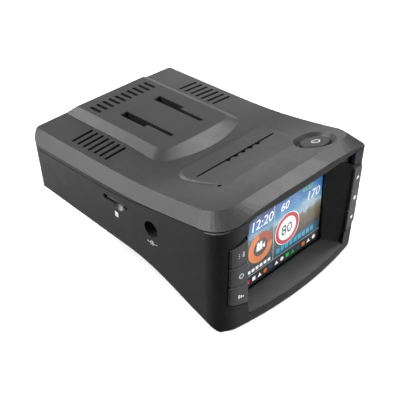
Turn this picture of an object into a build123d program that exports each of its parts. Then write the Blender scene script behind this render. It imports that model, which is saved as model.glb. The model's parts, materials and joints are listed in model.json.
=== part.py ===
"""Dashboard radar detector with a built-in recorder, made as an assembly of separate pieces.

Millimetres, +Z up. The display looks along -Y at the driver, the radar horn looks along +Y at the
road, and the card slot and the power inlet are on the -X side. The origin is the centre of the
bounding box in X and Y, on the plane that the front lip stands on.
"""

import os
from math import cos, radians, sin, sqrt, tan

from build123d import *

# ---------------------------------------------------------------- driving dimensions

WALL = 2.0                  # shell thickness
PARTING_GAP = 0.36          # shadow line between the two shells
FIT_GAP = 0.1               # gap round a piece that is set into another one
SIDE = 60.0                 # half length of a cutting block, well past the body
BIG = 80.0

# Plan outline of the body, given at two heights and lofted between them.
LOW_Z, HIGH_Z = -1.0, 58.0
LOW_PLAN = {"half": 41.3, "front": -56.5, "front_side": -51.5, "rear": 55.6, "rear_side": 54.7}
HIGH_PLAN = {"half": 43.4, "front": -56.2, "front_side": -55.2, "rear": 56.8, "rear_side": 55.8}
FRONT_CORNER_R, REAR_CORNER_R = 9.3, 7.0

# Side view, as (y, z).
BELLY_REAR = (62.0, 19.5)
BELLY_KNEE = (-2.0, 14.6)
BELLY_CURVE = [(-16.7, 11.9), (-27.2, 8.3), (-37.4, 4.2), (-44.0, 1.8)]
BELLY_LIP = (-50.5, 0.0)
BELLY_EDGE_R = 3.4
BELLY_EDGE_X = 41.6         # side wall at the height of the belly
BELLY_EDGE_ANGLES = (22.5, 45.0, 67.5)
LIP_R = 1.5
LIP_RELIEF, LIP_FOOT_X = 0.3, 36.5      # the lip's underside rises to its middle and stands on its ends
REAR_BEVEL = (54.0, 18.8)               # the lower rear edge is bevelled from here, at 45 degrees
PARTING_REAR_Z = 40.0
PARTING_BEND_Y = 9.0
PARTING_CURVE = [(-18.7, 43.0), (-45.0, 46.6), (-52.5, 48.0)]
PARTING_FRONT = (-62.0, 51.6)

# Top surface: (y, height on the centre line, height at the outer edge of the deck).
DECK_STATIONS = [
    (62.0, 47.6, 46.15), (35.0, 47.6, 46.15), (12.0, 47.55, 46.2), (0.0, 47.0, 46.4),
    (-10.0, 46.3, 46.95), (-18.0, 46.6, 47.7), (-27.0, 48.2, 48.8), (-36.0, 50.6, 50.1),
    (-44.0, 52.9, 51.5), (-53.0, 55.2, 53.0), (-62.0, 57.4, 54.4),
]
DECK_EDGE_X = 38.3          # where the deck breaks into the sloping shoulder band
CROWN_HALF = 46.0           # the crowned surface is made this wide, then trimmed
DECK_ROWS, DECK_COLUMNS = 44, 8
SHOULDER_SLOPE = 0.95
BROW_BREAK = (-50.8, 54.5)  # the top bends down to the rim here
BROW_TIP = (-62.0, 50.6)
CORNER_CENTRE, CORNER_R = (30.3, -41.3), 8.0    # the band is rounded about this point at the front
CORNER_ANGLES = range(15, 90, 7)                # from the front towards the side
CORNER_HEIGHT, CORNER_DROP, CORNER_DROP_POWER = 53.85, 3.0, 0.85
CORNER_SLOPE, CORNER_STEEPER, CORNER_SLOPE_POWER = 0.20, 0.75, 1.15
TAIL_BREAK = (54.4, 47.7)
TAIL_TIP = (58.4, 43.7)

# Plateau that carries the bracket slots, given at its foot and at its top.
PLATEAU_FOOT_Z, PLATEAU_TOP_Z, PLATEAU_REAR = 46.0, 49.3, 60.0
PLATEAU_FOOT = {"half": 25.1, "front": -9.0, "front_side": -3.0, "corner_r": 6.5}
PLATEAU_TOP = {"half": 18.7, "front": -1.6, "front_side": -0.7, "corner_r": 4.5}

# Low pad behind the display, with its own tilted top.
PAD_LOW_Z, PAD_HIGH_Z = 45.0, 52.5
PAD_LOW = {"half": 29.0, "rear": -10.2, "corner_r": 8.0}
PAD_HIGH = {"half": 17.5, "rear": -20.5, "corner_r": 4.0}
PAD_FRONT = -48.0
PAD_TOP_LINE = [(-8.0, 46.9), (-14.0, 47.35), (-21.5, 48.1), (-29.0, 49.2), (-38.0, 50.9), (-50.0, 53.2)]

# Bracket slots: a wide entry and a narrow lock, mirrored about x = 0.
BRACKET_INNER_X = 7.4
BRACKET_WIDE, BRACKET_NARROW = 3.95, 1.85
BRACKET_REAR, BRACKET_STEP, BRACKET_FRONT = 33.6, 18.7, 5.3

# Vents and sound slot.
CUT_TOP, CUT_BOTTOM = 60.0, 42.5
REAR_VENT_COUNT, REAR_VENT_PITCH, REAR_VENT_WIDTH = 10, 3.4, 1.55
REAR_VENT_SPAN = (41.0, 48.0)
SIDE_VENT_COUNT, SIDE_VENT_PITCH, SIDE_VENT_WIDTH = 7, 3.37, 1.45
SIDE_VENT_SPAN = (24.6, 35.5)
SIDE_VENT_FIRST_Y = 35.3
SOUND_SLOT_Y, SOUND_SLOT_HALF, SOUND_SLOT_WIDTH = -21.6, 21.7, 0.95
SOUND_TOOTH_COUNT, SOUND_TOOTH_PITCH, SOUND_TOOTH_R, SOUND_TOOTH_X = 5, 4.2, 1.1, 3.0
MIC_X, MIC_Y, MIC_HOLE_R = -22.3, -33.7, 0.75

# Power button in its dish. Heights are along the dish axis, down from the top surface.
POWER_X, POWER_Y, POWER_Z = 24.2, -40.3, 51.45
POWER_AXIS = (0.03, 0.24, 1)
DISH_RIM_R, DISH_FLOOR_R, DISH_DEPTH = 8.5, 6.9, 1.9
DISH_BOSS_R, DISH_BOSS_DEPTH = 9.5, 3.7
POWER_HOLE_R, POWER_R, POWER_TOP = 6.3, 5.95, -0.5
POWER_FLANGE_R, POWER_FLANGE = 7.3, (-4.9, -4.0)
POWER_STEM_R, POWER_STEM_END = 1.4, -5.6
POWER_SWITCH_TOP, POWER_SWITCH_BODY, POWER_BOARD = -6.35, (-8.0, -6.7), (-8.8, -8.0)
POWER_POST_X, POWER_POST_R = 9.2, 1.3
POWER_EDGE_R, POWER_SWITCH_SIZE, POWER_SWITCH_R = 0.9, 4.6, 1.5
POWER_BOARD_END, POWER_BOARD_WIDTH = 3.4, 8.4

# Front of the body: brow, display funnel and the two columns of keys.
FRONT_BEAM, FRONT_BEAM_Z = 4.4, 44.4            # depth and underside of the doubled wall over the display
FRONT_BEAM_REAR = -48.0
RAIL_SETBACK, RAIL_HALF, RAIL_Z = 2.6, 30.5, 42.5   # the lower shell's rail sits back under the brow
OPENING_RIGHT = [(24.5, 46.5), (31.2, 43.6), (38.6, 40.4), (38.2, 13.2), (29.2, 11.0), (28.6, 5.0)]
OPENING_ROUND = 1.6
KEY_GAP = 0.3
KEY_PROUD, KEY_DEPTH = 0.45, 2.2
KEY_TOP = [(30.75, 41.7), (38.3, 40.0)]
KEY_BOTTOM = [(29.2, 11.5), (37.9, 13.6)]
KEY_SPLITS = (0.3333, 0.6667)
KEY_FLANGE_OUT, KEY_FLANGE_DEPTH = 1.1, (2.45, 3.5)
KEY_FLANGE_IN_X, KEY_FLANGE_HALF = 31.2, 3.4
KEY_REAR = -46.4
KEY_STEM, KEY_STEM_END, KEY_STEM_X = 3.4, -48.2, 34.6
KEY_SWITCH_TOP, KEY_SWITCH_BODY, KEY_BOARD_Y = -47.6, (-47.2, -45.2), (-45.2, -44.0)
KEY_BOARD_X, KEY_BOARD_Z, KEY_BOARD_HOLE_R = (30.0, 39.6), (10.0, 41.5), 1.0
KEY_SWITCH_HALF, KEY_SWITCH_R = 2.6, 1.4

# Display.
SCREEN_HALF, SCREEN_Z = 22.5, (8.1, 41.7)
SCREEN_Y = -48.0
FUNNEL_MOUTH_Y, FUNNEL_MOUTH_HALF, FUNNEL_MOUTH_Z = -58.0, 34.6, (4.55, 52.2)
SURROUND_WALL = 1.5
SURROUND_EDGE = [(24.3, 46.2), (30.45, 43.5), (30.45, 41.7), (28.9, 11.5), (28.2, 5.1)]
SURROUND_FLANGE, SURROUND_FLANGE_HALF, SURROUND_FLANGE_Z = (-48.0, -47.2), 27.0, (5.2, 43.3)
HEADER_HALF, HEADER_Y, HEADER_HEIGHT = 23.6, -51.0, 1.2     # bar over the screen

# Board, posts and case screws.
BOARD_X, BOARD_Y, BOARD_Z = 39.3, (-25.5, 16.0), (37.4, 38.9)
BOARD_POSTS = [(-23.0, -22.0), (34.0, -22.0), (-33.0, 13.2), (34.0, 13.2)]
BOARD_POST_R, BOARD_SCREW_R = 2.3, 0.85
CASE_SCREWS = [(-36.2, 47.0), (36.2, 47.0), (-36.2, -31.5), (36.2, -31.5)]
COLUMN_R, COLUMN_TOP = 3.5, 37.9
THREAD_GAP, HOLE_GAP, WELL_GAP, BOARD_PILOT = 0.03, 0.25, 0.3, 7.0
SCREW_R, SCREW_HEAD_R, SCREW_SEAT_Z, SCREW_TOP_Z = 1.2, 2.3, 32.5, 43.0

# Left side: card slot and power inlet.
CARD_Y, CARD_Z = 1.75, 36.3
CARD_LENGTH, CARD_WIDTH, CARD_THICK = 15.0, 11.0, 0.75
CARD_OUTER_X = -42.1
CARD_SLOT_WIDTH, CARD_SLOT_HEIGHT, CARD_SLOT_R = 13.7, 2.1, 0.8
SCOOP_PLACE, SCOOP_R = (-46.7, -0.3, 36.3), 5.2     # fingertip scoop under the card slot
INLET_Y, INLET_Z, INLET_R = -17.9, 33.2, 3.5
JACK_FACE_X, JACK_LENGTH, JACK_WIDTH = -40.2, 12.0, 9.0
JACK_BELOW, JACK_BORE_R, JACK_PIN_R, JACK_BORE_DEPTH = 4.2, 2.75, 0.8, 9.0
SOCKET_HALF, SOCKET_HEIGHT, SOCKET_WALL, CARD_PLAY, CARD_STOP_GAP = 7.0, 2.1, 1.6, 0.12, 0.3

# Road-facing end.
CAMERA_X, CAMERA_Z, CAMERA_R = 26.0, 30.0, 6.3
CAMERA_BLOCK_HALF, CAMERA_BLOCK_Y, CAMERA_NOSE_Y = 7.5, (38.0, 43.0), 55.2
CAMERA_BORE_R, CAMERA_SEAT_R, CAMERA_SEAT_Y = 4.0, 4.7, 50.0
CAMERA_LENS_R, CAMERA_LENS_Y, CAMERA_LENS_DOME = 4.6, (50.0, 54.4), 8.0
CAMERA_BOARD_HALF, CAMERA_BOARD_Y = 8.0, (36.8, 38.0)
SENSOR_SIZE, SENSOR_Y = (5.6, 4.8), (38.0, 38.8)
LASER_X, LASER_Z, LASER_SIZE = -25.2, 30.0, (12.0, 8.0)
LASER_WINDOW_Y, LASER_FLANGE_Y, LASER_FLANGE_OUT = (53.0, 55.2), (52.2, 53.0), 1.0
LASER_LENS_R, LASER_LENS_Y, LASER_LENS_DOME = 3.6, (48.0, 51.4), 5.5
LASER_BOARD_HALF, LASER_BOARD_Y = 5.5, (39.5, 40.7)
LASER_TUBE_R, LASER_TUBE_BORE_R, LASER_TUBE_Y, LASER_TUBE_FLOOR_Y = 4.6, 3.1, (40.7, 49.6), 42.0
HORN_X, HORN_Z = -1.0, 29.6
HORN_THROAT_Y, HORN_MOUTH_Y, HORN_TAIL_Y = 34.0, 53.0, 20.0
HORN_THROAT, HORN_MOUTH, HORN_SKIN = (13.0, 9.0), (30.0, 16.0), 1.1
HORN_CAVITY_HALF, HORN_CAVITY_Y = (5.3, 3.3), 21.5
RADAR_BOARD_HALF, RADAR_BOARD_Y, RADAR_BOARD_THICK = 12.0, (19.0, 33.5), 1.2
RADAR_CHIP_HALF, RADAR_CHIP_Y, RADAR_CHIP_THICK = 7.0, (21.0, 32.0), 1.8

# What the main board carries: spans in x and y, and heights over its face.
SHIELD_X, SHIELD_Y, SHIELD_HEIGHT, SHIELD_SKIN, SHIELD_CORNER_R = (-14.0, 16.0), (-9.0, 13.0), 3.2, 0.4, 1.0
ANTENNA_X, ANTENNA_Y, ANTENNA_HEIGHT, ANTENNA_CORNER = (19.0, 37.0), (-12.0, 6.0), 4.0, 0.8
ANTENNA_PIN, ANTENNA_PIN_R, ANTENNA_PIN_HEIGHT = (27.0, -2.0), 1.0, 0.3
CAPACITOR_PLACE, CAPACITOR_R, CAPACITOR_LENGTH = (6.0, -10.0), 4.0, 14.0
BOARD_HEAD_R, BOARD_HEAD_HEIGHT, BOARD_SHANK, BOARD_SOCKET_R = 1.9, 1.2, 6.5, 0.6
CASE_HEAD_HEIGHT, CASE_CROSS, CASE_CROSS_DEPTH = 1.8, (2.6, 0.6), 1.0

# Sound and display parts.
SPEAKER_Z, SPEAKER_R, SPEAKER_RIM, SPEAKER_MAGNET_R, SPEAKER_MAGNET = 41.2, 10.1, 2.2, 6.0, 1.8
SPEAKER_CONE = (7.5, 3.0, 1.2)      # radius at the bottom, radius at the top, depth
MIC_Z, MIC_R, MIC_HEIGHT, MIC_PORT = 45.4, 2.05, 1.5, 0.5
SPEAKER_CUP_Z, SPEAKER_CUP_R = 42.0, (10.25, 11.6)      # the ring under the cover that holds it
MIC_CUP_Z, MIC_CUP_R = 45.6, (2.15, 3.2)
WINDOW_HALF, WINDOW_Y, WINDOW_Z, WINDOW_CORNER_R = 24.2, (-47.2, -46.3), (6.4, 42.9), 1.0
PANEL_HALF, PANEL_Y, PANEL_Z, PANEL_CORNER = 24.6, (-46.2, -43.6), (6.2, 42.9), 0.4
FRAME_HALF, FRAME_Y, FRAME_Z, FRAME_TAB = 25.6, (-43.5, -42.7), (6.6, 42.4), 0.8
FRAME_TAB_FRONT, FRAME_TAB_HEIGHTS = -47.1, [(14.0, 24.0), (28.0, 38.0)]
FRAME_HOLES, FRAME_HOLE_SIZE = [(-12, -43, 30), (12, -43, 30)], (8, 4, 12)
RIBBON_POINTS = [(-42.6, 24.0), (-39.0, 24.0), (-39.0, 36.8), (-22.0, 36.8)]
RIBBON_HALF, RIBBON_THICK, RIBBON_BEND_R = 8.0, 0.25, 1.4

# Where a cylinder stands on its place or hangs from it.
STANDING = (Align.CENTER, Align.CENTER, Align.MIN)
HANGING = (Align.CENTER, Align.CENTER, Align.MAX)
TOWARDS_ROAD = (-90, 0, 0)          # turns a standing cylinder to run along +Y


def cuboid(x_span, y_span, z_span, mode=Mode.ADD):
    """A box between two corners, in the part that is being built."""
    centre = ((x_span[0] + x_span[1]) / 2, (y_span[0] + y_span[1]) / 2, (z_span[0] + z_span[1]) / 2)
    with Locations(centre):
        Box(x_span[1] - x_span[0], y_span[1] - y_span[0], z_span[1] - z_span[0], mode=mode)


def finish(piece, name):
    """Label a finished piece and write its file."""
    piece.part.label = name
    export_step(piece.part, f"parts/{name}.step")



def hull_outline(plan, z, inset):
    """Plan outline of the body at height z: straight sides, bowed ends, round corners."""
    half, front, front_side = plan["half"], plan["front"], plan["front_side"]
    rear, rear_side = plan["rear"], plan["rear_side"]
    with BuildSketch(Plane.XY.offset(z)) as outline:
        with BuildLine():
            Line((-half, rear_side), (-half, front_side))
            ThreePointArc((-half, front_side), (0, front), (half, front_side))
            Line((half, front_side), (half, rear_side))
            ThreePointArc((half, rear_side), (0, rear), (-half, rear_side))
        make_face()
        fillet(outline.vertices().group_by(Axis.Y)[0], radius=FRONT_CORNER_R)
        fillet(outline.vertices().group_by(Axis.Y)[-1], radius=REAR_CORNER_R)
        if inset:
            offset(amount=-inset, kind=Kind.ARC)
    return outline.sketch


def hull(inset=0.0):
    """The body's sides as one block from LOW_Z to HIGH_Z, with the wall moved in by inset."""
    low = hull_outline(LOW_PLAN, LOW_Z, inset)
    high = hull_outline(HIGH_PLAN, HIGH_Z, inset)
    with BuildPart() as block:
        loft(sections=[low.faces()[0], high.faces()[0]])
    return block.part


def above_belly(rise):
    """Everything above the underside, moved up by rise."""
    rear = (BELLY_REAR[0], BELLY_REAR[1] + rise)
    knee = (BELLY_KNEE[0], BELLY_KNEE[1] + rise)
    lip = (BELLY_LIP[0], BELLY_LIP[1] + rise)
    curve = [(y, z + rise) for y, z in BELLY_CURVE]
    knee_direction = (knee[0] - rear[0], knee[1] - rear[1])
    with BuildPart() as block:
        with BuildSketch(Plane.YZ.offset(-SIDE)):
            with BuildLine():
                Line(rear, knee)
                Spline(knee, *curve, lip, tangents=(knee_direction, (-1, -0.12)))
                Polyline(lip, (-BIG, lip[1]), (-BIG, BIG), (rear[0], BIG), rear)
            make_face()
        extrude(amount=2 * SIDE)
    return block.part


def belly_edges():
    """Everything inside the rounded long edges of the underside, as a run of narrow bevels."""
    reach = SIDE - (BELLY_EDGE_X - BELLY_EDGE_R)
    knee_direction = (BELLY_KNEE[0] - BELLY_REAR[0], BELLY_KNEE[1] - BELLY_REAR[1])
    with BuildPart() as block:
        Box(4 * SIDE, 4 * SIDE, 4 * SIDE)
        for angle in BELLY_EDGE_ANGLES:
            turn = radians(angle)
            rise = BELLY_EDGE_R + (reach * sin(turn) - BELLY_EDGE_R) / cos(turn)
            curve = [(y, z + rise) for y, z in [BELLY_KNEE, *BELLY_CURVE, BELLY_LIP]]
            rear = (BELLY_REAR[0], BELLY_REAR[1] + rise)
            for side in (-1, 1):
                with BuildSketch(Plane.YZ.offset(side * SIDE)):
                    with BuildLine():
                        Line(rear, curve[0])
                        Spline(*curve, tangents=(knee_direction, (-1, -0.12)))
                        Polyline(
                            curve[-1], (-BIG, curve[-1][1]), (-BIG, 5 * BIG), (rear[0], 5 * BIG), rear,
                        )
                    make_face()
                extrude(
                    amount=2 * SIDE / cos(turn), dir=(-side, 0, -tan(turn)), mode=Mode.INTERSECT,
                )
    return block.part


def below_parting(rise):
    """Everything below the line where the two shells meet, moved up by rise."""
    rear = (BIG, PARTING_REAR_Z + rise)
    bend = (PARTING_BEND_Y, PARTING_REAR_Z + rise)
    front = (PARTING_FRONT[0], PARTING_FRONT[1] + rise)
    curve = [(y, z + rise) for y, z in PARTING_CURVE]
    with BuildPart() as block:
        with BuildSketch(Plane.YZ.offset(-SIDE)):
            with BuildLine():
                Line(rear, bend)
                Spline(bend, *curve, front, tangents=((-1, 0), (-1, 0.16)))
                Polyline(front, (front[0], -BIG), (BIG, -BIG), rear)
            make_face()
        extrude(amount=2 * SIDE)
    return block.part


def below_deck(drop):
    """Everything under the crowned deck and its two shoulders, moved down by drop."""
    centre_line = Spline(*[(y, centre_z - drop) for y, centre_z, edge_z in DECK_STATIONS])
    edge_line = Spline(*[(y, edge_z - drop) for y, centre_z, edge_z in DECK_STATIONS])
    rows = []
    for step in range(DECK_ROWS + 1):
        centre = centre_line @ (step / DECK_ROWS)
        edge = edge_line @ (step / DECK_ROWS)
        row = []
        for column in range(-DECK_COLUMNS, DECK_COLUMNS + 1):
            x = column / DECK_COLUMNS * CROWN_HALF
            blend = (x / DECK_EDGE_X) ** 2
            point = centre * (1 - blend) + edge * blend
            row.append(Vector(x, point.X, point.Y))
        rows.append(row)
    crown = Face.make_surface_from_array_of_points(rows, tol=0.005, min_deg=3, max_deg=5)
    shoulder_drop = SHOULDER_SLOPE * (SIDE - DECK_EDGE_X)
    shoulder_line = [(y, edge_z - drop - shoulder_drop) for y, centre_z, edge_z in DECK_STATIONS]
    front_y, rear_y = shoulder_line[-1][0], shoulder_line[0][0]
    with BuildPart() as block:
        extrude(crown, amount=BIG, dir=(0, 0, -1))
        for side in (-1, 1):
            with BuildSketch(Plane.YZ.offset(side * SIDE)):
                with BuildLine():
                    Spline(*shoulder_line)
                    Polyline(shoulder_line[-1], (front_y, -4 * BIG), (rear_y, -4 * BIG), shoulder_line[0])
                make_face()
            extrude(
                amount=2 * SIDE * sqrt(1 + SHOULDER_SLOPE**2),
                dir=(-side, 0, SHOULDER_SLOPE), mode=Mode.INTERSECT,
            )
    return block.part


def below_ends(drop):
    """Everything inside the brow, the chamfer at the tail and the bevel under it.

    The top side is moved down by drop.
    """
    brow_slope = (BROW_BREAK[1] - BROW_TIP[1]) / (BROW_BREAK[0] - BROW_TIP[0])
    with BuildPart() as block:
        with BuildSketch(Plane.YZ.offset(-SIDE)):
            Polygon(
                (BROW_TIP[0], -BIG), (BROW_TIP[0], BROW_TIP[1] - drop),
                (BROW_BREAK[0] + 15, BROW_BREAK[1] + 15 * brow_slope - drop),
                (TAIL_BREAK[0] - 15, TAIL_BREAK[1] + 15 - drop),
                (TAIL_TIP[0], TAIL_TIP[1] - drop),
                (TAIL_TIP[0], REAR_BEVEL[1] + TAIL_TIP[0] - REAR_BEVEL[0]),
                REAR_BEVEL, (REAR_BEVEL[0], -BIG), align=None,
            )
        extrude(amount=2 * SIDE)
    return block.part


os.makedirs("parts", exist_ok=True)

# ---------------------------------------------------------------- common forms

body_hull = hull()
body_ends = below_ends(0)
half_gap = PARTING_GAP / 2
lower_zone = below_parting(-half_gap)
upper_zone = below_parting(half_gap)

with BuildPart() as envelope:
    add(body_hull)
    add(above_belly(0), mode=Mode.INTERSECT)
    fillet(envelope.edges().group_by(Axis.Z)[0].sort_by(Axis.Y)[0:3], radius=LIP_R)
    add(belly_edges(), mode=Mode.INTERSECT)
    with BuildSketch(Plane.XZ.offset(SIDE)):
        Polygon((-LIP_FOOT_X, 0), (0, LIP_RELIEF), (LIP_FOOT_X, 0), (0, -LIP_RELIEF), align=None)
    extrude(amount=SIDE + BELLY_CURVE[-1][0], dir=(0, 1, 0), mode=Mode.SUBTRACT)
    add(below_deck(0), mode=Mode.INTERSECT)
    add(body_ends, mode=Mode.INTERSECT)
    for side in (-1, 1):
        for angle in CORNER_ANGLES:
            turned = angle / 90
            height = CORNER_HEIGHT - CORNER_DROP * turned**CORNER_DROP_POWER
            slope = CORNER_SLOPE + CORNER_STEEPER * turned**CORNER_SLOPE_POWER
            out_x = side * sin(radians(angle))
            out_y = -cos(radians(angle))
            corner_x = side * CORNER_CENTRE[0] + CORNER_R * out_x
            corner_y = CORNER_CENTRE[1] + CORNER_R * out_y
            corner_place = (corner_x, corner_y, height)
            corner_plane = Plane(origin=corner_place, z_dir=(slope * out_x, slope * out_y, 1))
            split(bisect_by=corner_plane, keep=Keep.BOTTOM)

with BuildPart() as cavity:
    add(hull(WALL))
    add(above_belly(WALL), mode=Mode.INTERSECT)
    add(below_deck(WALL + 0.4), mode=Mode.INTERSECT)
    add(below_ends(WALL), mode=Mode.INTERSECT)

with BuildPart() as front_beam:
    cuboid((-SIDE, SIDE), (-SIDE, FRONT_BEAM_REAR), (FRONT_BEAM_Z, SIDE))
    add(envelope.part, mode=Mode.INTERSECT)
    add(hull(FRONT_BEAM), mode=Mode.SUBTRACT)

with BuildPart() as rail_notch:
    cuboid((-RAIL_HALF, RAIL_HALF), (-SIDE, FRONT_BEAM_REAR), (RAIL_Z, SIDE))
    add(hull(RAIL_SETBACK), mode=Mode.SUBTRACT)


def plateau_outline(plan, z):
    """Outline of the plateau at height z: bowed front with round corners, running out at the tail."""
    half, front, front_side = plan["half"], plan["front"], plan["front_side"]
    with BuildSketch(Plane.XY.offset(z)) as outline:
        with BuildLine():
            ThreePointArc((-half, front_side), (0, front), (half, front_side))
            Polyline((half, front_side), (half, PLATEAU_REAR), (-half, PLATEAU_REAR), (-half, front_side))
        make_face()
        fillet(outline.vertices().group_by(Axis.Y)[0], radius=plan["corner_r"])
    return outline.sketch.faces()[0]


def pad_outline(plan, z):
    """Outline of the pad at height z, with its two rear corners rounded."""
    with BuildSketch(Plane.XY.offset(z)) as outline:
        with Locations((0, (plan["rear"] + PAD_FRONT) / 2)):
            Rectangle(2 * plan["half"], plan["rear"] - PAD_FRONT)
        fillet(outline.vertices().group_by(Axis.Y)[-1], radius=plan["corner_r"])
    return outline.sketch.faces()[0]


with BuildPart() as plateau:
    loft(
        sections=[
            plateau_outline(PLATEAU_FOOT, PLATEAU_FOOT_Z),
            plateau_outline(PLATEAU_TOP, PLATEAU_TOP_Z),
        ]
    )
    add(body_hull, mode=Mode.INTERSECT)
    add(body_ends, mode=Mode.INTERSECT)

with BuildPart() as pad:
    loft(sections=[pad_outline(PAD_LOW, PAD_LOW_Z), pad_outline(PAD_HIGH, PAD_HIGH_Z)])
    with BuildSketch(Plane.YZ.offset(-SIDE)):
        with BuildLine():
            Spline(*PAD_TOP_LINE)
            Polyline(PAD_TOP_LINE[-1], (PAD_TOP_LINE[-1][0], 0), (PAD_TOP_LINE[0][0], 0), PAD_TOP_LINE[0])
        make_face()
    extrude(amount=2 * SIDE, mode=Mode.INTERSECT)

dish_plane = Plane(origin=(POWER_X, POWER_Y, POWER_Z), x_dir=(1, 0, 0), z_dir=POWER_AXIS)

# ---------------------------------------------------------------- top shell

with BuildPart() as posts_down:
    for x, y in CASE_SCREWS:
        with Locations((x, y, COLUMN_TOP + FIT_GAP)):
            Cylinder(COLUMN_R, BIG, align=STANDING)
    with Locations((0, SOUND_SLOT_Y, SPEAKER_CUP_Z)):
        Cylinder(SPEAKER_CUP_R[1], BIG, align=STANDING)
        Cylinder(SPEAKER_CUP_R[0], BIG, align=STANDING, mode=Mode.SUBTRACT)
    with Locations((MIC_X, MIC_Y, MIC_CUP_Z)):
        Cylinder(MIC_CUP_R[1], BIG, align=STANDING)
        Cylinder(MIC_CUP_R[0], BIG, align=STANDING, mode=Mode.SUBTRACT)
    with Locations(dish_plane.offset(-DISH_BOSS_DEPTH)):
        Cylinder(DISH_BOSS_R, BIG, align=STANDING)
    with Locations(dish_plane.offset(POWER_BOARD[1])):
        with Locations((-POWER_POST_X, 0, 0), (POWER_POST_X, 0, 0)):
            Cylinder(POWER_POST_R, 6, align=STANDING)
    add(envelope.part, mode=Mode.INTERSECT)

with BuildPart() as top_shell:
    add(envelope.part)
    add(plateau.part)
    add(pad.part)
    add(cavity.part, mode=Mode.SUBTRACT)
    add(front_beam.part)
    add(posts_down.part)
    add(upper_zone, mode=Mode.SUBTRACT)
    with Locations(dish_plane.offset(-DISH_DEPTH)):
        Cone(
            DISH_FLOOR_R, 2 * DISH_RIM_R - DISH_FLOOR_R, 2 * DISH_DEPTH,
            align=STANDING, mode=Mode.SUBTRACT,
        )
    with Locations(dish_plane):
        Cylinder(POWER_HOLE_R, 12, mode=Mode.SUBTRACT)
    for x, y in CASE_SCREWS:
        with Locations((x, y, 0)):
            Cylinder(SCREW_R + THREAD_GAP, SCREW_TOP_Z + 0.5, align=STANDING, mode=Mode.SUBTRACT)
    for side in (-1, 1):
        wide = sorted((side * BRACKET_INNER_X, side * (BRACKET_INNER_X + BRACKET_WIDE)))
        narrow = sorted((side * BRACKET_INNER_X, side * (BRACKET_INNER_X + BRACKET_NARROW)))
        cuboid(wide, (BRACKET_STEP, BRACKET_REAR), (CUT_BOTTOM, CUT_TOP), mode=Mode.SUBTRACT)
        cuboid(narrow, (BRACKET_FRONT, BRACKET_STEP + 1), (CUT_BOTTOM, CUT_TOP), mode=Mode.SUBTRACT)
    with BuildSketch(Plane.XY.offset(CUT_TOP)):
        with Locations((0, sum(REAR_VENT_SPAN) / 2)):
            with GridLocations(REAR_VENT_PITCH, 0, REAR_VENT_COUNT, 1):
                SlotOverall(REAR_VENT_SPAN[1] - REAR_VENT_SPAN[0], REAR_VENT_WIDTH, rotation=90)
        side_vent_y = SIDE_VENT_FIRST_Y - SIDE_VENT_PITCH * (SIDE_VENT_COUNT - 1) / 2
        for side in (-1, 1):
            with Locations((side * sum(SIDE_VENT_SPAN) / 2, side_vent_y)):
                with GridLocations(0, SIDE_VENT_PITCH, 1, SIDE_VENT_COUNT):
                    SlotOverall(SIDE_VENT_SPAN[1] - SIDE_VENT_SPAN[0], SIDE_VENT_WIDTH)
        with Locations((0, SOUND_SLOT_Y)):
            SlotOverall(2 * SOUND_SLOT_HALF, SOUND_SLOT_WIDTH)
        with Locations((SOUND_TOOTH_X, SOUND_SLOT_Y - SOUND_SLOT_WIDTH / 2)):
            with GridLocations(SOUND_TOOTH_PITCH, 0, SOUND_TOOTH_COUNT, 1):
                Circle(SOUND_TOOTH_R)
        with Locations((MIC_X, MIC_Y)):
            Circle(MIC_HOLE_R)
    extrude(amount=CUT_BOTTOM - CUT_TOP, mode=Mode.SUBTRACT)
finish(top_shell, "top_shell")

# ---------------------------------------------------------------- lower shell

opening_loop = OPENING_RIGHT + [(-x, z) for x, z in reversed(OPENING_RIGHT)]
opening_outer_x = OPENING_RIGHT[3][0]

with BuildPart() as posts_up:
    for x, y in CASE_SCREWS:
        with Locations((x, y, 0)):
            Cylinder(COLUMN_R, COLUMN_TOP, align=STANDING)
    for x, y in BOARD_POSTS:
        with Locations((x, y, 0)):
            Cylinder(BOARD_POST_R, BOARD_Z[0], align=STANDING)
    add(envelope.part, mode=Mode.INTERSECT)

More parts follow.
